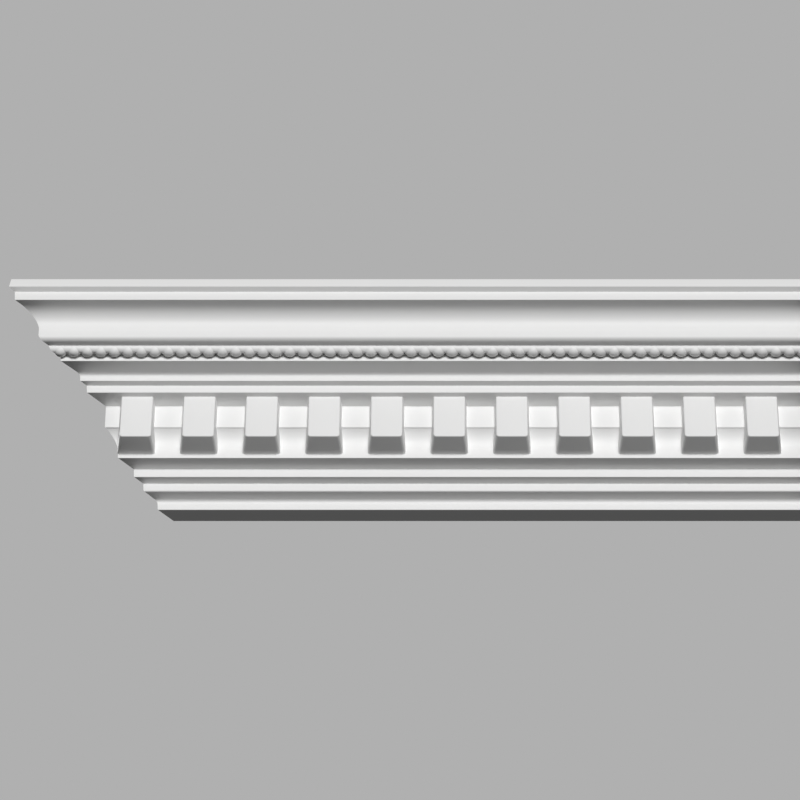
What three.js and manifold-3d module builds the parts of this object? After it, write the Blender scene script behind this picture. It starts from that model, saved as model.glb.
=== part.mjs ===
// Cornice moulding length, cast in one piece: a crown with a deep cove, a row of beads,
// a row of dentils and three stepped fillets at the foot.
//
// Millimetres. +X runs along the moulding, to the right as seen from the room. The wall is
// the plane y = 0 with the face looking along -Y, and +Z is up towards the ceiling.
// The origin is the centre of the flat strip that is bonded to the wall.
// In the section, "out" is the distance from the wall and "up" the height above the foot.

import * as THREE from 'three';
import { mergeVertices } from 'three/addons/utils/BufferGeometryUtils.js';
import Module from 'manifold-3d';

// Run of the moulding
const wallLength = 534;          // along the wall, from the corner mitre to the square end
const mitreAngle = 45;           // degrees from the square cut, for a right-angled corner
const backThickness = 18;        // left behind the corner where the dentils grow from the face

// Faces lean back a little on their way down, so that the casting leaves its mould
const filletLean = 0.06;         // mm of lean for each mm of height
const wallLean = 0.015;

// Foot: three stepped fillets
const footSoffitDepth = 13.2;
const footFilletHeight = 6.75;
const footHollowRadius = 3.3;
const secondSoffitDepth = 6.896;
const secondSoffitRise = 0.3;
const secondArrisRadius = 1.5;
const secondFilletHeight = 7.25;
const thirdSoffitDepth = 7.6;
const thirdFilletHeight = 9;
const fourthSoffitDepth = 12.9;

// Wall behind the dentils: a plain band, a shallow cove, a small step and the upper band
const lowerBandHeight = 11.7;
const bandCoveDepth = 9.65;
const bandCoveHeight = 14;
const coveBowDepth = 0.23;        // the bow of the cove, as shares of its own depth
const coveBowHeight = 0.66;       // and height
const bandStepDepth = 1.4;
const bandStepHeight = 0.3;
const upperBandHeight = 26.5;
const dentilSoffitDepth = 15.5;

// Dentils, which taper towards their front
const dentilPitch = 53;
const dentilWidth = 27.2;        // across the front, at its top
const dentilTaper = 0.0145;      // mm that each side comes in, for each mm below the top
const dentilDraft = 6;           // degrees, each side
const dentilSetBack = 4.4;       // behind the fillet above
const dentilLip = 4;             // of the lower band, left showing below each dentil
const dentilRise = 0.4;          // of the underside, from the band to the front
const dentilLean = 0.05;
const firstDentilReach = 32.1;   // its centre, past the wall corner

// Two fillets and the soffit under the bead row
const lowFilletHeight = 8.4;
const lowSoffitDepth = 5.35;
const highFilletHeight = 4.9;
const highHollowRadius = 3.2;
const beadSoffitDepth = 12.768;
const beadSoffitFall = 1;

// Bead row: beads with thin necks, strung on a cord that fills their notches on the upper side
const beadFilletHeight = 8;
const beadFilletDepth = 0.6;
const beadBedDepth = 8.3;
const beadBedRise = 0.4;
const beadRadius = 5.45;
const beadReach = 5.85;          // half the length of a bead, along the row
const beadNeckRadius = 2.2;
const beadPitch = 11.46;
const beadAxisOut = 4.05;        // the row's axis, out from the top of the bead fillet
const beadAxisUp = -0.9;         // and above it
const cordRadius = 3.9;
const cordOut = 1.25;            // the cord's axis, out from the row's axis
const cordUp = 0.85;             // and above it
const firstBeadReach = 85.35;    // centre of a bead, past the wall corner

// Crown: round, cove, soffit and two fillets
const quirkDepth = 5;
const quirkFall = 0.3;
const roundRadius = 4.7;
const coveFootHeight = 6.05;
const coveRadius = 15.5;
const coveSoffitDepth = 4.8;
const crownFilletHeight = 9.75;
const crownSoffitDepth = 4.74;
const crownSoffitRise = 1.5;
const topFilletHeight = 11.3;
const topFilletFlare = 1.2;      // the top edge stands this far behind the one below it

// Fineness of the facets
const arcSteps = 7;              // for each quarter turn
const beadSides = 10;
const beadArcSteps = 5;
const cordSides = 12;

const allowance = 20;            // extra stock that the end cuts remove
const mergeDistance = 1e-4;
const bury = 3;                  // how deep the dentils and their tops sink into the body

const white = new THREE.MeshStandardMaterial({ color: 0xf1f1ef, roughness: 0.55, metalness: 0 });

const wasm = await Module();
wasm.setup();

// Turns a closed geometry into a solid for joining and cutting.
function solidOf(geometry) {
  const bare = geometry.clone();
  bare.deleteAttribute('normal');
  bare.deleteAttribute('uv');
  const merged = mergeVertices(bare, mergeDistance);
  const index = merged.index.array;
  const triangles = [];
  for (let i = 0; i < index.length; i += 3) {
    const [a, b, c] = [index[i], index[i + 1], index[i + 2]];
    if (a !== b && b !== c && c !== a) triangles.push(a, b, c);
  }
  return new wasm.Manifold(new wasm.Mesh({
    numProp: 3,
    vertProperties: new Float32Array(merged.attributes.position.array),
    triVerts: new Uint32Array(triangles),
  }));
}

// Turns a solid back into a geometry with flat faces.
function geometryOf(solid) {
  const mesh = solid.getMesh();
  const geometry = new THREE.BufferGeometry();
  geometry.setAttribute('position', new THREE.BufferAttribute(mesh.vertProperties, 3));
  geometry.setIndex(new THREE.BufferAttribute(mesh.triVerts, 1));
  geometry.computeVertexNormals();
  return geometry;
}

// Draws a section outline from the wall at the foot, outwards and upwards.
class SectionPen {
  constructor() {
    this.shape = new THREE.Shape();
    this.shape.moveTo(0, 0);
    this.out = 0;
    this.up = 0;
    this.marks = {};
  }

  mark(name) {
    this.marks[name] = { out: this.out, up: this.up };
    return this;
  }

  line(depth, rise) {
    this.out += depth;
    this.up += rise;
    this.shape.lineTo(this.out, this.up);
    return this;
  }

  soffit(depth, rise = 0) {
    return this.line(depth, rise);
  }

  face(height, lean = filletLean) {
    return this.line(height * lean, height);
  }

  // A hollow quarter that leaves a face and turns into the soffit above it.
  hollow(radius) {
    this.shape.absarc(this.out + radius, this.up, radius, Math.PI, Math.PI / 2, true);
    this.out += radius;
    this.up += radius;
    return this;
  }

  // A round quarter that leaves a soffit and turns into the face above it.
  round(radius) {
    this.shape.absarc(this.out, this.up + radius, radius, -Math.PI / 2, 0, false);
    this.out += radius;
    this.up += radius;
    return this;
  }

  // A shallow cove, steep at its foot and flatter towards its head.
  cove(depth, height) {
    this.shape.quadraticCurveTo(
      this.out + coveBowDepth * depth, this.up + coveBowHeight * height,
      this.out + depth, this.up + height,
    );
    this.out += depth;
    this.up += height;
    return this;
  }
}

// The face of the moulding from foot to crown, closed by the two strips and the slanted back.
function drawSection() {
  const pen = new SectionPen();
  pen.soffit(footSoffitDepth).face(footFilletHeight).hollow(footHollowRadius);
  pen.soffit(secondSoffitDepth, secondSoffitRise).round(secondArrisRadius).face(secondFilletHeight);
  pen.soffit(thirdSoffitDepth).face(thirdFilletHeight);
  pen.soffit(fourthSoffitDepth).mark('lowerBand').face(lowerBandHeight);
  pen.cove(bandCoveDepth, bandCoveHeight).soffit(bandStepDepth, bandStepHeight);
  pen.face(upperBandHeight, wallLean).mark('deepCorner');
  pen.soffit(dentilSoffitDepth).mark('dentilFillet').face(lowFilletHeight);
  pen.soffit(lowSoffitDepth).face(highFilletHeight).hollow(highHollowRadius);
  pen.soffit(beadSoffitDepth, -beadSoffitFall).line(beadFilletDepth, beadFilletHeight);
  pen.mark('beadBed').line(beadBedDepth, beadBedRise);
  pen.soffit(quirkDepth, -quirkFall).round(roundRadius).face(coveFootHeight, 0);
  pen.hollow(coveRadius).soffit(coveSoffitDepth);
  pen.face(crownFilletHeight).soffit(crownSoffitDepth, crownSoffitRise);
  pen.mark('nose').line(-topFilletFlare, topFilletHeight).mark('ceiling');
  return pen;
}

// Where the slanted back, parallel to the slope of the face, meets the wall and the ceiling.
function backLine(marks) {
  const slope = new THREE.Vector2(-marks.nose.out, -marks.ceiling.up).normalize();
  const inward = new THREE.Vector2(slope.y, -slope.x);
  const corner = new THREE.Vector2(marks.deepCorner.out, marks.deepCorner.up);
  const onBack = corner.addScaledVector(inward, backThickness);
  return {
    wallUp: onBack.y - slope.y / slope.x * onBack.x,
    ceilingOut: onBack.x + slope.x / slope.y * (marks.ceiling.up - onBack.y),
  };
}

const section = drawSection();
const back = backLine(section.marks);
section.shape.lineTo(back.ceilingOut, section.marks.ceiling.up);
section.shape.lineTo(0, back.wallUp);
section.shape.closePath();

const projection = section.marks.nose.out;
const drop = section.marks.ceiling.up;
const footHeight = -back.wallUp / 2;             // z of the foot, with the wall strip about z = 0
const rightEnd = wallLength / 2;
const mitreRun = Math.tan(THREE.MathUtils.degToRad(mitreAngle));
const stockStart = -rightEnd - projection * mitreRun - allowance;
const stockEnd = rightEnd + allowance;

// A run of plain moulding, longer than needed at both ends.
function plainRun() {
  const geometry = new THREE.ExtrudeGeometry(section.shape, {
    depth: stockEnd - stockStart,
    bevelEnabled: false,
    curveSegments: arcSteps,
  });
  const across = new THREE.Matrix4().makeBasis(
    new THREE.Vector3(0, -1, 0), new THREE.Vector3(0, 0, 1), new THREE.Vector3(-1, 0, 0),
  );
  geometry.applyMatrix4(across);
  geometry.translate(stockEnd, 0, footHeight);
  return solidOf(geometry);
}

// One dentil about x = 0: a block that widens towards the wall and leans back at its foot.
function dentilBlock() {
  const { lowerBand, dentilFillet } = section.marks;
  const frontOut = dentilFillet.out - dentilSetBack;
  const rootOut = lowerBand.out - bury;
  const underside = lowerBand.up + dentilLip;
  const top = dentilFillet.up + bury;
  const flare = Math.tan(THREE.MathUtils.degToRad(dentilDraft));
  const geometry = new THREE.BoxGeometry(2, 2, 2);
  const position = geometry.attributes.position;
  for (let i = 0; i < position.count; i += 1) {
    const atFront = position.getY(i) < 0;
    const foot = atFront ? underside + dentilRise : underside;
    const up = position.getZ(i) > 0 ? top : foot;
    const leanBack = (top - up) * dentilLean;
    const out = atFront ? frontOut - leanBack : rootOut;
    const halfWidth = dentilWidth / 2 + (frontOut - out) * flare - (top - up) * dentilTaper;
    position.setXYZ(i, position.getX(i) * halfWidth, -out, footHeight + up);
  }
  return solidOf(geometry);
}

function dentilRow() {
  const dentil = dentilBlock();
  const dentils = [];
  for (let x = -rightEnd - firstDentilReach; x < stockEnd; x += dentilPitch) {
    dentils.push(dentil.translate(x, 0, 0));
  }
  return dentils;
}

// Where the row's axis runs in the section.
function beadAxis() {
  const bed = section.marks.beadBed;
  return { out: bed.out + beadAxisOut, up: bed.up + beadAxisUp };
}

// The whole string of beads as one turned shape, its axis along the moulding.
function beadString() {
  const endAngle = Math.acos(beadNeckRadius / beadRadius);
  const firstCentre = -rightEnd - firstBeadReach;
  const before = Math.ceil((firstCentre - stockStart) / beadPitch);
  const start = firstCentre - (before + 0.5) * beadPitch;
  const count = Math.ceil((stockEnd - start) / beadPitch);
  const profile = [new THREE.Vector2(0, 0), new THREE.Vector2(beadNeckRadius, 0)];
  for (let bead = 0; bead < count; bead += 1) {
    const centre = (bead + 0.5) * beadPitch;
    for (let step = 0; step <= beadArcSteps; step += 1) {
      const angle = endAngle * (2 * step / beadArcSteps - 1);
      profile.push(new THREE.Vector2(beadRadius * Math.cos(angle), centre + beadReach * Math.sin(angle)));
    }
  }
  const end = count * beadPitch;
  profile.push(new THREE.Vector2(beadNeckRadius, end), new THREE.Vector2(0, end));
  const geometry = new THREE.LatheGeometry(profile, beadSides);
  geometry.rotateZ(-Math.PI / 2);
  const axis = beadAxis();
  geometry.translate(start, -axis.out, footHeight + axis.up);
  return solidOf(geometry);
}

// The cord between the beads.
function beadCord() {
  const geometry = new THREE.CylinderGeometry(cordRadius, cordRadius, stockEnd - stockStart, cordSides);
  geometry.rotateZ(Math.PI / 2);
  const axis = beadAxis();
  geometry.translate((stockStart + stockEnd) / 2, -axis.out - cordOut, footHeight + axis.up + cordUp);
  return solidOf(geometry);
}

// Everything between the mitre and the square end, seen from above.
function keptStretch() {
  const reach = projection + allowance;
  const plan = new THREE.Shape();
  plan.moveTo(-rightEnd - reach * mitreRun, -reach);
  plan.lineTo(rightEnd, -reach);
  plan.lineTo(rightEnd, allowance);
  plan.lineTo(-rightEnd + allowance * mitreRun, allowance);
  plan.closePath();
  const geometry = new THREE.ExtrudeGeometry(plan, { depth: drop + 2 * allowance, bevelEnabled: false });
  geometry.translate(0, 0, footHeight - allowance);
  return solidOf(geometry);
}

function corniceSolid() {
  let cornice = plainRun().add(beadCord()).add(beadString());
  for (const dentil of dentilRow()) {
    cornice = cornice.add(dentil);
  }
  return cornice.intersect(keptStretch());
}

const cornice = new THREE.Mesh(geometryOf(corniceSolid()), white);
cornice.name = 'cornice_length';

const part = new THREE.Group();
part.add(cornice);

export default part;
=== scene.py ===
"""A white cornice moulding length, cast in one piece: crown, bead row, dentils and stepped foot.

Metres, in the part's own frame: +X runs along the moulding, the wall is the plane y = 0 with the
face looking along -Y, and +Z is up. In the section, "out" is the distance from the wall and "up"
the height on the Z axis.
"""

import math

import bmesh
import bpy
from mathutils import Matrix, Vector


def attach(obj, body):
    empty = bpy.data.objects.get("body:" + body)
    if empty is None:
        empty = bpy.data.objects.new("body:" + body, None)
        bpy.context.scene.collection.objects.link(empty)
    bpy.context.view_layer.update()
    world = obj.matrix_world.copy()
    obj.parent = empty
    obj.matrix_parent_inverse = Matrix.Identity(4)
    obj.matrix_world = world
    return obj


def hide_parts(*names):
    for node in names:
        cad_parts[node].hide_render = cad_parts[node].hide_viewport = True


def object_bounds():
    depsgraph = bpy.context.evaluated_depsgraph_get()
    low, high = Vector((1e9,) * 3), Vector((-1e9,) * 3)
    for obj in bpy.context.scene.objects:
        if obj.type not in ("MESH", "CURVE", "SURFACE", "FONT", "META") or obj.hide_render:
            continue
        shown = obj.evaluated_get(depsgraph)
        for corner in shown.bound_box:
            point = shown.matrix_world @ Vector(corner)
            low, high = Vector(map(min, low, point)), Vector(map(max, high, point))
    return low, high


bl_info = {
    "name": "Cornice Moulding Length",
    "version": (1, 0, 0),
    "blender": (4, 5, 0),
    "location": "View3D > Sidebar > Cornice",
    "description": "Casts a dentil cornice with a mitred end and sets it in a plain studio",
    "category": "Add Mesh",
}

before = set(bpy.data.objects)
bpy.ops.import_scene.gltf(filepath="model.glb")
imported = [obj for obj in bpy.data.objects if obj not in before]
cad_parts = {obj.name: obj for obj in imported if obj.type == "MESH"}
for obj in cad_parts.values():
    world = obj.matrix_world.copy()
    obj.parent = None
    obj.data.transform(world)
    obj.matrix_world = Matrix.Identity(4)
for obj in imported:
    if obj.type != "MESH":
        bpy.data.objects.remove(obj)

NODE = "cornice_length"
CAD_LOW, CAD_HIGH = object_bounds()
LEFT_TIP, RIGHT_END = CAD_LOW.x, CAD_HIGH.x
FOOT, CEILING = CAD_LOW.z, CAD_HIGH.z
PROJECTION = -CAD_LOW.y
WALL_CORNER = LEFT_TIP + PROJECTION
SPARE = 0.02
CUT_FACE = 1


def length(name, millimetres, description):
    """A size that a user can change, given in millimetres."""
    return bpy.props.FloatProperty(
        name=name, description=description, default=millimetres / 1000,
        min=0, unit="LENGTH", subtype="DISTANCE", precision=5,
    )


def amount(name, value, description):
    """A share between nothing and the whole."""
    return bpy.props.FloatProperty(
        name=name, description=description, default=value, min=0, max=1, subtype="FACTOR",
    )


def turn(name, degrees, description):
    """An angle, given in degrees."""
    return bpy.props.FloatProperty(
        name=name, description=description, default=math.radians(degrees),
        unit="ROTATION", subtype="ANGLE",
    )


def colour(name, value, description):
    return bpy.props.FloatVectorProperty(
        name=name, description=description, default=value, size=3, min=0, max=1, subtype="COLOR",
    )


class FootSizes(bpy.types.PropertyGroup):
    """The three stepped fillets at the foot, from the wall outwards."""

    foot_soffit: length("Foot soffit", 13.2, "Depth of the lowest soffit, from the wall")
    foot_fillet: length("Foot fillet", 6.75, "Height of the lowest face")
    foot_hollow: length("Foot hollow", 3.3, "Radius of the hollow above the lowest face")
    second_soffit: length("Second soffit", 6.896, "Depth of the second soffit, before its round arris")
    second_soffit_rise: length("Second soffit rise", 0.3, "Rise of the second soffit towards its front")
    second_arris: length("Second arris", 1.5, "Radius of the round arris of the second face")
    second_fillet: length("Second fillet", 7.25, "Height of the second face above its arris")
    third_soffit: length("Third soffit", 7.6, "Depth of the third soffit")
    third_fillet: length("Third fillet", 9, "Height of the third face")
    fourth_soffit: length("Fourth soffit", 12.9, "Depth of the soffit under the dentil course")


class BandSizes(bpy.types.PropertyGroup):
    """The wall behind the dentils, from its foot up."""

    lower_band: length("Lower band", 11.7, "Height of the plain band at the foot of the course")
    cove_depth: length("Cove depth", 9.65, "How far the shallow cove comes forward")
    cove_height: length("Cove height", 14, "Height of the shallow cove")
    step_depth: length("Step depth", 1.4, "Depth of the small step over the cove")
    step_height: length("Step height", 0.3, "Rise of the small step over the cove")
    upper_band: length("Upper band", 26.5, "Height of the band between the dentils")
    dentil_soffit: length("Dentil soffit", 15.5, "Depth of the soffit that the dentils hang from")


class DentilSizes(bpy.types.PropertyGroup):
    """The dentil course."""

    pitch: length("Pitch", 53, "Distance from one dentil to the next")
    width: length("Width", 26.7, "Width across the front, at its top")
    taper: amount("Taper", 0.007, "How much each side comes in, for each unit below the top")
    draft: turn("Draft", 7.5, "Slant of each side, wider at the wall")
    set_back: length("Set back", 4.4, "Distance of the front behind the fillet above")
    lip: length("Lip", 4, "Height of the lower band left below each dentil")
    rise: length("Rise", 0.4, "Rise of the underside from the band to the front")
    lean: amount("Lean", 0.05, "How far the front leans back, for each unit of height")
    first_reach: length("First reach", 31.75, "Centre of the first dentil, past the wall corner")
    arris: length("Arris", 1, "Roundness of the front's edges")
    side_arris: length("Side arris", 2.6, "Roundness of the underside's two side edges")


class BeadSizes(bpy.types.PropertyGroup):
    """The bead row and its bed."""

    low_fillet: length("Low fillet", 8.4, "Height of the fillet over the dentils")
    low_soffit: length("Low soffit", 5.35, "Depth of the soffit between the two fillets")
    high_fillet: length("High fillet", 4.9, "Height of the upper fillet")
    high_hollow: length("High hollow", 3.2, "Radius of the hollow over the upper fillet")
    soffit: length("Bead soffit", 12.768, "Depth of the soffit under the beads")
    soffit_fall: length("Bead soffit fall", 1, "Fall of that soffit towards its front")
    fillet: length("Bead fillet", 8, "Height of the thin face under the beads")
    fillet_depth: length("Bead fillet depth", 0.6, "How far the thin face leans forward")
    bed_depth: length("Bed depth", 8.3, "Depth of the sloping bed")
    bed_rise: length("Bed rise", 0.4, "Rise of the sloping bed")
    radius_out: length("Bead depth", 5, "Half the depth of a bead, out from the wall")
    radius_up: length("Bead height", 6.2, "Half the height of a bead")
    reach: length("Bead reach", 5.9, "Half the length of a bead, along the row")
    neck: amount("Bead neck", 0.4, "Thickness of the neck between two beads, as a share of a bead")
    pitch: length("Bead pitch", 11.46, "Distance from one bead to the next")
    axis_out: length("Axis out", 4.15, "Axis of the beads, out from the top edge of the bead fillet")
    cord_out: length("Cord depth", 2.5, "Half the depth of the cord, out from the wall")
    cord_up: length("Cord height", 3.9, "Half the height of the cord")
    cord_lean: turn("Cord lean", 26.7, "How far the top of the cord leans forward")
    cord_shift: length("Cord shift", 2.5, "Axis of the cord, out from the axis of the beads")
    cord_fall: length("Cord fall", 0.35, "Axis of the cord, below the axis of the beads")
    first_reach: length("First reach", 85.35, "Centre of one bead, past the wall corner")


class CrownSizes(bpy.types.PropertyGroup):
    """The crown, from the beads up."""

    quirk: length("Quirk", 5, "Depth of the narrow soffit over the beads")
    quirk_fall: length("Quirk fall", 0.3, "Fall of that soffit towards its front")
    round: length("Round", 4.7, "Radius of the round under the cove")
    cove_foot: length("Cove foot", 6.05, "Height of the plain face between round and cove")
    cove: length("Cove", 15.5, "Radius of the deep cove")
    cove_soffit: length("Cove soffit", 4.8, "Depth of the soffit in front of the cove")
    fillet: length("Crown fillet", 9.75, "Height of the fillet under the top")
    soffit: length("Crown soffit", 4.74, "Depth of the slanted soffit under the top")
    soffit_rise: length("Crown soffit rise", 1.5, "Rise of that soffit towards its front")
    top: length("Top fillet", 11.3, "Height of the top face")
    flare: length("Top flare", 1.2, "How far the top edge stands behind the one below it")


class CastSizes(bpy.types.PropertyGroup):
    """What the whole casting shares."""

    lean: amount("Fillet lean", 0.06, "How far a fillet leans back, for each unit of height")
    wall_lean: amount("Wall lean", 0.015, "The same, for the band between the dentils")
    back: length("Back thickness", 18, "Material behind the deepest corner of the face")
    arris: length("Arris", 0.4, "Roundness of the long edges")


class FinishColours(bpy.types.PropertyGroup):
    """The primer coat, and the foam that shows where the length was cut."""

    coat: colour("Coat", (0.925, 0.925, 0.92), "Colour of the primer coat")
    coat_shade: colour("Coat shade", (0.905, 0.905, 0.9), "The coat where it is thinner")
    coat_roughness: amount("Coat roughness", 0.5, "Roughness of the primer coat")
    foam: colour("Foam", (0.86, 0.84, 0.77), "Colour of the cut foam")
    # Painted shade: the foam is coloured darker inside its pores, where shade falls, with this colour.
    foam_pore_painted_shade: colour("Foam shade", (0.7, 0.675, 0.59), "Colour inside the foam's pores")
    foam_roughness: amount("Foam roughness", 0.85, "Roughness of the cut foam")


class StudioSettings(bpy.types.PropertyGroup):
    """Camera, lights, floor and backdrop."""

    camera_fall: turn("Camera fall", 49, "How far below the moulding the camera looks up from")
    camera_distance: length("Camera distance", 4625, "From the camera to the moulding")
    camera_along: length("Camera along", 233, "Camera axis, along from the wall corner")
    camera_out: length("Camera out", 71.36, "Camera axis, out from the wall")
    camera_drop: length("Camera drop", 78.58, "Camera axis, below the ceiling")
    frame_shift: bpy.props.FloatProperty(
        name="Frame shift", description="Sideways shift of the picture, in frame widths", default=-0.06125,
    )
    focal_length: bpy.props.FloatProperty(
        name="Focal length", description="Lens, in mm on a 36 mm frame", default=245.25, unit="CAMERA",
    )
    key_strength: bpy.props.FloatProperty(
        name="Key", description="Strength of the front light", default=2.52,
    )
    back_strength: bpy.props.FloatProperty(
        name="Back", description="Strength of each back light", default=1.6,
    )
    fill: amount("Fill", 0.03, "Brightness of the room around the moulding")
    backdrop: colour("Backdrop", (0.434, 0.434, 0.434), "Colour behind the moulding")
    floor_colour: colour("Floor", (0.8, 0.8, 0.79), "Colour of the floor")
    floor_drop: length("Floor drop", 5500, "Height of the moulding above the floor")


class Sizes:
    """All the property groups of the scene, by short names."""

    def __init__(self, scene):
        self.foot = scene.cornice_foot
        self.band = scene.cornice_band
        self.dentil = scene.cornice_dentil
        self.bead = scene.cornice_bead
        self.crown = scene.cornice_crown
        self.cast = scene.cornice_cast
        self.finish = scene.cornice_finish
        self.studio = scene.cornice_studio


class SectionPen:
    """Draws the section in the plane x = 0, from the wall at the foot, outwards and upwards."""

    def __init__(self, mesh, lean):
        self.mesh = mesh
        self.lean = lean
        self.tip = bmesh.ops.create_vert(mesh, co=(0, 0, FOOT))["vert"][0]
        self.start = self.tip
        self.marks = {}

    def place(self):
        return -self.tip.co.y, self.tip.co.z

    def mark(self, name):
        self.marks[name] = self.place()
        return self

    def line(self, depth, rise):
        grown = bmesh.ops.extrude_vert_indiv(self.mesh, verts=[self.tip])
        self.tip = grown["verts"][0]
        bmesh.ops.translate(self.mesh, verts=[self.tip], vec=(0, -depth, rise))
        return self

    def line_to(self, out, up):
        here_out, here_up = self.place()
        return self.line(out - here_out, up - here_up)

    def face(self, height, lean=None):
        return self.line(height * (self.lean if lean is None else lean), height)

    def arc(self, centre_out, centre_up, angle, steps):
        turned = bmesh.ops.spin(
            self.mesh, geom=[self.tip], cent=(0, -centre_out, centre_up), axis=(1, 0, 0),
            dvec=(0, 0, 0), angle=angle, steps=steps, use_merge=False,
        )
        self.tip = next(v for v in turned["geom_last"] if isinstance(v, bmesh.types.BMVert))
        return self

    def hollow(self, radius, steps):
        """A hollow quarter that leaves a face and turns into the soffit above it."""
        out, up = self.place()
        return self.arc(out + radius, up, math.pi / 2, steps)

    def round(self, radius, steps):
        """A round quarter that leaves a soffit and turns into the face above it."""
        out, up = self.place()
        return self.arc(out, up + radius, -math.pi / 2, steps)

    def bowed_cove(self, depth, height, angle, steps):
        """A shallow cove that turns by less than a quarter between two points."""
        out, up = self.place()
        chord = Vector((depth, height))
        radius = chord.length / 2 / math.sin(angle / 2)
        across = Vector((height, -depth)).normalized()
        centre = Vector((out, up)) + chord / 2 + across * radius * math.cos(angle / 2)
        return self.arc(centre.x, centre.y, angle, steps)

    def close(self):
        self.mesh.edges.new((self.tip, self.start))


def draw_section(mesh, sizes):
    """The face from foot to crown, the two strips and the slanted back."""
    foot, band, bead, crown = sizes.foot, sizes.band, sizes.bead, sizes.crown
    pen = SectionPen(mesh, sizes.cast.lean)
    pen.line(foot.foot_soffit, 0).face(foot.foot_fillet).hollow(foot.foot_hollow, 10)
    pen.line(foot.second_soffit, foot.second_soffit_rise).round(foot.second_arris, 8)
    pen.face(foot.second_fillet)
    pen.line(foot.third_soffit, 0).face(foot.third_fillet)
    pen.line(foot.fourth_soffit, 0).mark("lower_band").face(band.lower_band)
    pen.bowed_cove(band.cove_depth, band.cove_height, math.radians(45), 16)
    pen.line(band.step_depth, band.step_height)
    pen.face(band.upper_band, sizes.cast.wall_lean).mark("deep_corner")
    pen.line(band.dentil_soffit, 0).mark("dentil_fillet").face(bead.low_fillet)
    pen.line(bead.low_soffit, 0).face(bead.high_fillet).hollow(bead.high_hollow, 8)
    pen.line(bead.soffit, -bead.soffit_fall).line(bead.fillet_depth, bead.fillet)
    pen.mark("bead_bed").line(bead.bed_depth, bead.bed_rise)
    pen.line(crown.quirk, -crown.quirk_fall).round(crown.round, 14)
    pen.face(crown.cove_foot, 0).hollow(crown.cove, 28).line(crown.cove_soffit, 0)
    pen.face(crown.fillet).line(crown.soffit, crown.soffit_rise)
    pen.mark("nose").line(-crown.flare, crown.top).mark("ceiling")
    wall_up, ceiling_out = back_line(pen.marks, sizes.cast.back)
    pen.line_to(ceiling_out, pen.marks["ceiling"][1]).line_to(0, wall_up)
    pen.close()
    return pen.marks


def back_line(marks, thickness):
    """Where the slanted back, parallel to the slope of the face, meets the wall and the ceiling."""
    slope = Vector((-marks["nose"][0], FOOT - marks["ceiling"][1])).normalized()
    inward = Vector((slope.y, -slope.x))
    on_back = Vector(marks["deep_corner"]) + inward * thickness
    wall_up = on_back.y - slope.y / slope.x * on_back.x
    ceiling_out = on_back.x + slope.x / slope.y * (marks["ceiling"][1] - on_back.y)
    return wall_up, ceiling_out


def soften(mesh, edges, radius, segments=3):
    """Rounds the edges, and returns what the bevel made."""
    return bmesh.ops.bevel(
        mesh, geom=edges, offset=radius, offset_type="OFFSET", affect="EDGES",
        segments=segments, profile=0.5, material=-1, clamp_overlap=True,
    )


def cast_run(mesh, sizes):
    """A run of plain moulding, longer than needed at both ends. Returns the section's marks."""
    marks = draw_section(mesh, sizes)
    bmesh.ops.contextual_create(mesh, geom=mesh.edges[:])
    start, end = LEFT_TIP - SPARE, RIGHT_END + SPARE
    bmesh.ops.translate(mesh, verts=mesh.verts[:], vec=(start, 0, 0))
    grown = bmesh.ops.extrude_face_region(mesh, geom=mesh.faces[:])
    moved = [v for v in grown["geom"] if isinstance(v, bmesh.types.BMVert)]
    bmesh.ops.translate(mesh, verts=moved, vec=(end - start, 0, 0))
    bmesh.ops.recalc_face_normals(mesh, faces=mesh.faces[:])
    corner = math.radians(25)
    arrises = [e for e in mesh.edges if runs_along(e) and e.calc_face_angle_signed(0) > corner]
    soften(mesh, arrises, sizes.cast.arris)
    return marks


def runs_along(edge):
    """Whether the edge goes the whole way along the run."""
    return abs(edge.verts[0].co.x - edge.verts[1].co.x) > SPARE


def cast_dentil(mesh, sizes, marks, centre):
    """One dentil: a block that widens towards the wall and leans back at its foot."""
    dentil = sizes.dentil
    bury = 0.003
    front = marks["dentil_fillet"][0] - dentil.set_back
    root = marks["lower_band"][0] - bury
    foot = marks["lower_band"][1] + dentil.lip
    top = marks["dentil_fillet"][1] + bury
    block = bmesh.ops.create_cube(mesh, size=2)["verts"]
    for vert in block:
        under = foot + dentil.rise if vert.co.y < 0 else foot
        up = top if vert.co.z > 0 else under
        out = front - (top - up) * dentil.lean if vert.co.y < 0 else root
        half = dentil.width / 2 + (front - out) * math.tan(dentil.draft) - (top - up) * dentil.taper
        vert.co = (centre + vert.co.x * half, -out, up)
    at_front = [v for v in block if -v.co.y > (front + root) / 2 and v.co.z < foot + bury]
    at_root = [v for v in block if -v.co.y < (front + root) / 2]
    sides = [e for v in at_front for e in v.link_edges if e.other_vert(v) in at_root]
    rounded = soften(mesh, sides, dentil.side_arris, 5)
    mesh.normal_update()
    front_face = max((f for v in rounded["verts"] for f in v.link_faces), key=lambda f: -f.normal.y)
    shown = [e for e in front_face.edges if min(v.co.z for v in e.verts) < top - bury]
    soften(mesh, shown, dentil.arris, 4)


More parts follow.
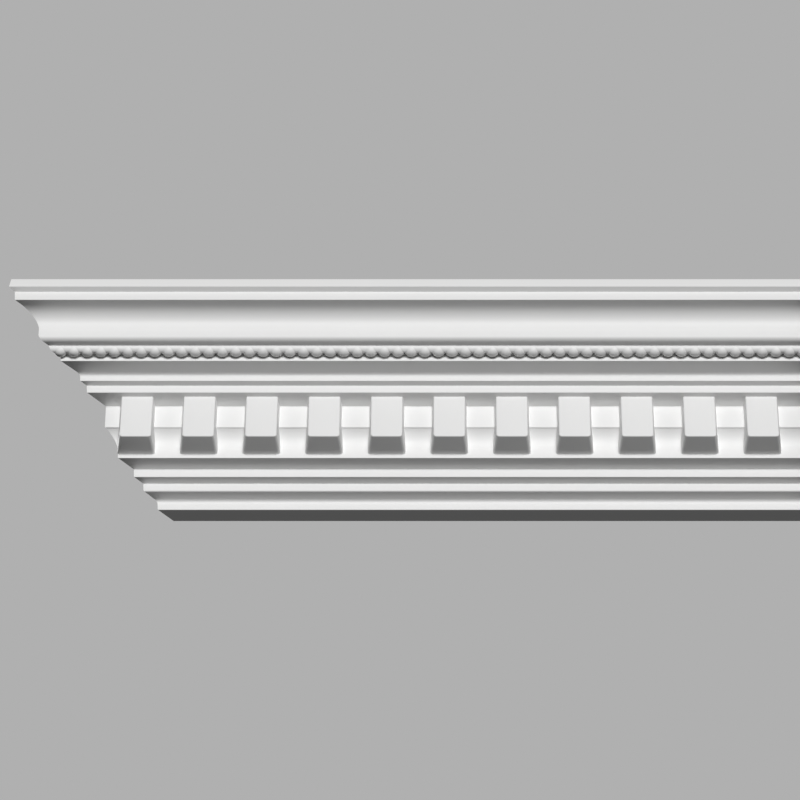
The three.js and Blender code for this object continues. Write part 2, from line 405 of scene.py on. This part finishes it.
def cast_beads(mesh, sizes, marks):
    """The string of beads: round beads turned about the row's axis, then stretched to their size."""
    bead = sizes.bead
    pitch = bead.pitch / bead.reach
    first = WALL_CORNER - bead.first_reach
    origin = first - (math.ceil((first - LEFT_TIP) / bead.pitch) + 0.5) * bead.pitch
    count = math.ceil((RIGHT_END + SPARE - origin) / bead.pitch)
    half = math.sqrt(1 - bead.neck ** 2)
    outline = [bmesh.ops.create_vert(mesh, co=(0, 0, 0))["vert"][0]]

    def grow(x, radius):
        grown = bmesh.ops.extrude_vert_indiv(mesh, verts=[outline[-1]])["verts"][0]
        bmesh.ops.translate(mesh, verts=[grown], vec=Vector((x, 0, radius)) - grown.co)
        outline.append(grown)

    grow(0, bead.neck)
    for number in range(count):
        centre = (number + 0.5) * pitch
        grow(centre - half, bead.neck)
        arc = bmesh.ops.spin(
            mesh, geom=[outline[-1]], cent=(centre, 0, 0), axis=(0, 1, 0), dvec=(0, 0, 0),
            angle=2 * math.asin(half), steps=11, use_merge=False,
        )
        outline.append(next(v for v in arc["geom_last"] if isinstance(v, bmesh.types.BMVert)))
    grow(count * pitch, bead.neck)
    grow(count * pitch, 0)
    bmesh.ops.spin(
        mesh, geom=mesh.verts[:] + mesh.edges[:], cent=(0, 0, 0), axis=(1, 0, 0), dvec=(0, 0, 0),
        angle=2 * math.pi, steps=32, use_merge=True,
    )
    bmesh.ops.remove_doubles(mesh, verts=mesh.verts[:], dist=1e-4)
    bmesh.ops.scale(mesh, vec=(bead.reach, bead.radius_out, bead.radius_up), verts=mesh.verts[:])
    out = marks["bead_bed"][0] + bead.axis_out
    up = marks["bead_bed"][1]
    bmesh.ops.translate(mesh, vec=(origin, -out, up), verts=mesh.verts[:])
    bmesh.ops.recalc_face_normals(mesh, faces=mesh.faces[:])


def cast_cord(mesh, sizes, marks):
    """The flattened cord between the beads. It leans forward and fills the notches' upper side.

    Its ends lie inside the run, because two caps in one plane leave open edges in the union.
    """
    bead = sizes.bead
    start, end = LEFT_TIP - SPARE / 2, RIGHT_END + SPARE / 2
    bmesh.ops.create_cone(mesh, cap_ends=True, segments=48, radius1=1, radius2=1, depth=1)
    along = Matrix.Rotation(math.pi / 2, 3, "Y")
    bmesh.ops.rotate(mesh, cent=(0, 0, 0), matrix=along, verts=mesh.verts[:])
    bmesh.ops.scale(mesh, vec=(end - start, bead.cord_out, bead.cord_up), verts=mesh.verts[:])
    leaning = Matrix.Rotation(bead.cord_lean, 3, "X")
    bmesh.ops.rotate(mesh, cent=(0, 0, 0), matrix=leaning, verts=mesh.verts[:])
    out = marks["bead_bed"][0] + bead.axis_out + bead.cord_shift
    up = marks["bead_bed"][1] - bead.cord_fall
    bmesh.ops.translate(mesh, vec=((start + end) / 2, -out, up), verts=mesh.verts[:])


def object_of(mesh, name):
    """Ends a bmesh as an object of the scene."""
    data = bpy.data.meshes.new(name)
    mesh.to_mesh(data)
    mesh.free()
    made = bpy.data.objects.new(name, data)
    bpy.context.scene.collection.objects.link(made)
    return made


def joined(body, *ornaments):
    """The body with its ornaments as one skin, as a bmesh. The objects are used up."""
    for ornament in ornaments:
        union = body.modifiers.new("union", "BOOLEAN")
        union.operation = "UNION"
        union.solver = "EXACT"
        union.object = ornament
    graph = bpy.context.evaluated_depsgraph_get()
    mesh = bmesh.new()
    mesh.from_mesh(body.evaluated_get(graph).to_mesh())
    for used in (body, *ornaments):
        bpy.data.meshes.remove(used.data)
    return mesh


def cut_end(mesh, point, outward):
    """Cuts the run flat and closes the cut with foam."""
    cut = bmesh.ops.bisect_plane(
        mesh, geom=mesh.verts[:] + mesh.edges[:] + mesh.faces[:], plane_co=point, plane_no=outward,
        clear_outer=True, dist=1e-7,
    )
    edges = [e for e in cut["geom_cut"] if isinstance(e, bmesh.types.BMEdge)]
    filled = bmesh.ops.contextual_create(mesh, geom=edges)
    for face in filled["faces"]:
        face.material_index = CUT_FACE


def shade(mesh):
    """Round stretches are shaded smooth, flat ones flat."""
    crease = math.radians(14)
    for face in mesh.faces:
        face.smooth = True
    for edge in mesh.edges:
        edge.smooth = edge.calc_face_angle(0) < crease


class NodeBuilder:
    """Adds nodes and links to one node tree."""

    def __init__(self, tree):
        self.tree = tree

    def add(self, kind, **settings):
        node = self.tree.nodes.new(kind)
        for key, value in settings.items():
            if key.startswith("in_"):
                node.inputs[key[3:].replace("_", " ").title()].default_value = value
            else:
                setattr(node, key, value)
        return node

    def link(self, source, target):
        self.tree.links.new(source, target)


def grain_group():
    """Fine grain and slow unevenness of a cast skin: a mask and a height."""
    group = bpy.data.node_groups.new("cast_grain", "ShaderNodeTree")
    face = group.interface
    face.new_socket("Grain Size", in_out="INPUT", socket_type="NodeSocketFloat")
    face.new_socket("Wave Size", in_out="INPUT", socket_type="NodeSocketFloat")
    face.new_socket("Wave Share", in_out="INPUT", socket_type="NodeSocketFloat")
    face.new_socket("Mask", in_out="OUTPUT", socket_type="NodeSocketFloat")
    face.new_socket("Height", in_out="OUTPUT", socket_type="NodeSocketFloat")
    build = NodeBuilder(group)
    given = build.add("NodeGroupInput")
    place = build.add("ShaderNodeTexCoord")
    grain = build.add("ShaderNodeTexNoise", in_detail=4.0, in_roughness=0.6)
    wave = build.add("ShaderNodeTexNoise", in_detail=2.0, in_roughness=0.5)
    mix = build.add("ShaderNodeMix", data_type="FLOAT")
    out = build.add("NodeGroupOutput")
    for noise, size in ((grain, "Grain Size"), (wave, "Wave Size")):
        build.link(place.outputs["Object"], noise.inputs["Vector"])
        build.link(given.outputs[size], noise.inputs["Scale"])
    build.link(given.outputs["Wave Share"], mix.inputs[0])
    build.link(grain.outputs["Fac"], mix.inputs[2])
    build.link(wave.outputs["Fac"], mix.inputs[3])
    build.link(wave.outputs["Fac"], out.inputs["Mask"])
    build.link(mix.outputs[0], out.inputs["Height"])
    return group


def primer_coat(finish, grain):
    """Smooth white primer over the moulded skin."""
    material = bpy.data.materials.new("primer_coat")
    material.use_nodes = True
    build = NodeBuilder(material.node_tree)
    shader = material.node_tree.nodes["Principled BSDF"]
    shader.inputs["IOR"].default_value = 1.46
    texture = build.add("ShaderNodeGroup", node_tree=grain)
    texture.inputs["Grain Size"].default_value = 900
    texture.inputs["Wave Size"].default_value = 14
    texture.inputs["Wave Share"].default_value = 0.5
    tone = build.add("ShaderNodeMix", data_type="RGBA")
    tone.inputs[6].default_value = (*finish.coat_shade, 1)
    tone.inputs[7].default_value = (*finish.coat, 1)
    build.link(texture.outputs["Mask"], tone.inputs[0])
    build.link(tone.outputs[2], shader.inputs["Base Color"])
    gloss = build.add("ShaderNodeMapRange")
    gloss.inputs["To Min"].default_value = finish.coat_roughness - 0.04
    gloss.inputs["To Max"].default_value = finish.coat_roughness + 0.04
    build.link(texture.outputs["Height"], gloss.inputs["Value"])
    build.link(gloss.outputs["Result"], shader.inputs["Roughness"])
    bump = build.add("ShaderNodeBump")
    bump.inputs["Strength"].default_value = 0.12
    bump.inputs["Distance"].default_value = 0.0004
    build.link(texture.outputs["Height"], bump.inputs["Height"])
    build.link(bump.outputs["Normal"], shader.inputs["Normal"])
    return material


def cut_foam(finish, grain):
    """The fine open cells of the foam, where the saw went through."""
    material = bpy.data.materials.new("cut_foam")
    material.use_nodes = True
    build = NodeBuilder(material.node_tree)
    shader = material.node_tree.nodes["Principled BSDF"]
    shader.inputs["Roughness"].default_value = finish.foam_roughness
    place = build.add("ShaderNodeTexCoord")
    cells = build.add("ShaderNodeTexVoronoi", in_scale=900.0)
    build.link(place.outputs["Object"], cells.inputs["Vector"])
    texture = build.add("ShaderNodeGroup", node_tree=grain)
    texture.inputs["Grain Size"].default_value = 500
    texture.inputs["Wave Size"].default_value = 30
    texture.inputs["Wave Share"].default_value = 0.3
    # Painted shade: this pore mask darkens the foam inside each cell, where shade would fall. The cells'
    # bump below is separate.
    pores = build.add("ShaderNodeMapRange")
    pores.inputs["From Min"].default_value = 0.1
    pores.inputs["From Max"].default_value = 0.45
    build.link(cells.outputs["Distance"], pores.inputs["Value"])
    tone = build.add("ShaderNodeMix", data_type="RGBA")
    tone.inputs[6].default_value = (*finish.foam_pore_painted_shade, 1)
    tone.inputs[7].default_value = (*finish.foam, 1)
    build.link(pores.outputs["Result"], tone.inputs[0])
    build.link(tone.outputs[2], shader.inputs["Base Color"])
    rough = build.add("ShaderNodeMath", operation="ADD")
    build.link(cells.outputs["Distance"], rough.inputs[0])
    build.link(texture.outputs["Height"], rough.inputs[1])
    bump = build.add("ShaderNodeBump")
    bump.inputs["Strength"].default_value = 0.5
    bump.inputs["Distance"].default_value = 0.0006
    build.link(rough.outputs["Value"], bump.inputs["Height"])
    build.link(bump.outputs["Normal"], shader.inputs["Normal"])
    return material


class CORNICE_OT_cast(bpy.types.Operator):
    """Casts the moulding, cuts its two ends and gives it its finish"""

    bl_idname = "cornice.cast"
    bl_label = "Cast the moulding"

    def execute(self, context):
        sizes = Sizes(context.scene)
        run = bmesh.new()
        marks = cast_run(run, sizes)
        ornament = bmesh.new()
        cast_beads(ornament, sizes, marks)
        dentil = sizes.dentil
        count = math.ceil((RIGHT_END + SPARE - WALL_CORNER + dentil.first_reach) / dentil.pitch)
        for number in range(count):
            cast_dentil(ornament, sizes, marks, WALL_CORNER - dentil.first_reach + number * dentil.pitch)
        cord = bmesh.new()
        cast_cord(cord, sizes, marks)
        mesh = joined(object_of(run, "run"), object_of(cord, "cord"), object_of(ornament, "ornament"))
        cut_end(mesh, (RIGHT_END, 0, 0), (1, 0, 0))
        cut_end(mesh, (WALL_CORNER, 0, 0), Vector((-1, 1, 0)).normalized())
        if not all(edge.is_manifold for edge in mesh.edges):
            raise RuntimeError("The moulding isn't one closed skin.")
        shade(mesh)
        moulding = object_of(mesh, "moulding")
        grain = grain_group()
        moulding.data.materials.append(primer_coat(sizes.finish, grain))
        moulding.data.materials.append(cut_foam(sizes.finish, grain))
        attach(moulding, "root")
        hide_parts(NODE)
        return {"FINISHED"}


def add_sun(name, strength, azimuth, elevation, angle):
    """A soft distant light. It comes from the given direction, and its angles are in degrees."""
    data = bpy.data.lights.new(name, "SUN")
    data.energy = strength
    data.angle = math.radians(angle)
    lamp = bpy.data.objects.new(name, data)
    turned, raised = math.radians(azimuth), math.radians(elevation)
    source = Vector((
        math.sin(turned) * math.cos(raised), -math.cos(turned) * math.cos(raised), math.sin(raised),
    ))
    lamp.rotation_euler = (-source).to_track_quat("-Z", "Y").to_euler()
    bpy.context.scene.collection.objects.link(lamp)


def add_camera(studio):
    data = bpy.data.cameras.new("camera")
    data.lens = studio.focal_length
    data.shift_x = studio.frame_shift
    data.clip_start = 0.1
    data.clip_end = 200
    camera = bpy.data.objects.new("camera", data)
    target = Vector((WALL_CORNER + studio.camera_along, -studio.camera_out, CEILING - studio.camera_drop))
    towards = Vector((0, -math.cos(studio.camera_fall), -math.sin(studio.camera_fall)))
    camera.location = target + towards * studio.camera_distance
    camera.rotation_euler = (-towards).to_track_quat("-Z", "Y").to_euler()
    bpy.context.scene.collection.objects.link(camera)
    bpy.context.scene.camera = camera


def add_backdrop(studio):
    """A plain grey surround for the picture that itself lights the moulding only a little."""
    world = bpy.data.worlds.new("studio")
    bpy.context.scene.world = world
    world.use_nodes = True
    tree = world.node_tree
    tree.nodes.clear()
    build = NodeBuilder(tree)
    seen = build.add("ShaderNodeBackground")
    seen.inputs["Color"].default_value = (*studio.backdrop, 1)
    lit = build.add("ShaderNodeBackground")
    lit.inputs["Color"].default_value = (studio.fill, studio.fill, studio.fill, 1)
    rays = build.add("ShaderNodeLightPath")
    mix = build.add("ShaderNodeMixShader")
    out = build.add("ShaderNodeOutputWorld")
    build.link(rays.outputs["Is Camera Ray"], mix.inputs[0])
    build.link(lit.outputs[0], mix.inputs[1])
    build.link(seen.outputs[0], mix.inputs[2])
    build.link(mix.outputs[0], out.inputs["Surface"])


def add_floor(studio):
    mesh = bmesh.new()
    bmesh.ops.create_grid(mesh, x_segments=1, y_segments=1, size=80)
    bmesh.ops.translate(mesh, verts=mesh.verts[:], vec=(0, 0, -studio.floor_drop))
    floor = object_of(mesh, "floor")
    floor.visible_diffuse = False
    floor.visible_glossy = False
    floor.visible_shadow = False
    material = bpy.data.materials.new("pale_floor")
    material.use_nodes = True
    shader = material.node_tree.nodes["Principled BSDF"]
    shader.inputs["Base Color"].default_value = (*studio.floor_colour, 1)
    shader.inputs["Roughness"].default_value = 0.9
    floor.data.materials.append(material)


class CORNICE_OT_studio(bpy.types.Operator):
    """Sets up the camera, the lights, the floor and the backdrop"""

    bl_idname = "cornice.studio"
    bl_label = "Set up the studio"

    def execute(self, context):
        studio = context.scene.cornice_studio
        context.scene.view_settings.view_transform = "Standard"
        add_camera(studio)
        add_backdrop(studio)
        add_floor(studio)
        add_sun("front", studio.key_strength, 4, -2.5, 24)
        add_sun("back_right", studio.back_strength, 135, 35, 30)
        add_sun("back_left", studio.back_strength, 225, 35, 30)
        return {"FINISHED"}


class CORNICE_PT_panel(bpy.types.Panel):
    """Lists the steps in the sidebar"""

    bl_label = "Cornice"
    bl_space_type = "VIEW_3D"
    bl_region_type = "UI"
    bl_category = "Cornice"

    def draw(self, context):
        for step in (CORNICE_OT_studio, CORNICE_OT_cast):
            self.layout.operator(step.bl_idname)


GROUPS = {
    "cornice_foot": FootSizes,
    "cornice_band": BandSizes,
    "cornice_dentil": DentilSizes,
    "cornice_bead": BeadSizes,
    "cornice_crown": CrownSizes,
    "cornice_cast": CastSizes,
    "cornice_finish": FinishColours,
    "cornice_studio": StudioSettings,
}
CLASSES = (*GROUPS.values(), CORNICE_OT_studio, CORNICE_OT_cast, CORNICE_PT_panel)


def register():
    for cls in CLASSES:
        bpy.utils.register_class(cls)
    for name, group in GROUPS.items():
        setattr(bpy.types.Scene, name, bpy.props.PointerProperty(type=group))


def unregister():
    for name in GROUPS:
        delattr(bpy.types.Scene, name)
    for cls in reversed(CLASSES):
        bpy.utils.unregister_class(cls)


def main():
    register()
    bpy.ops.cornice.studio()
    bpy.ops.cornice.cast()


if __name__ == "__main__":
    main()
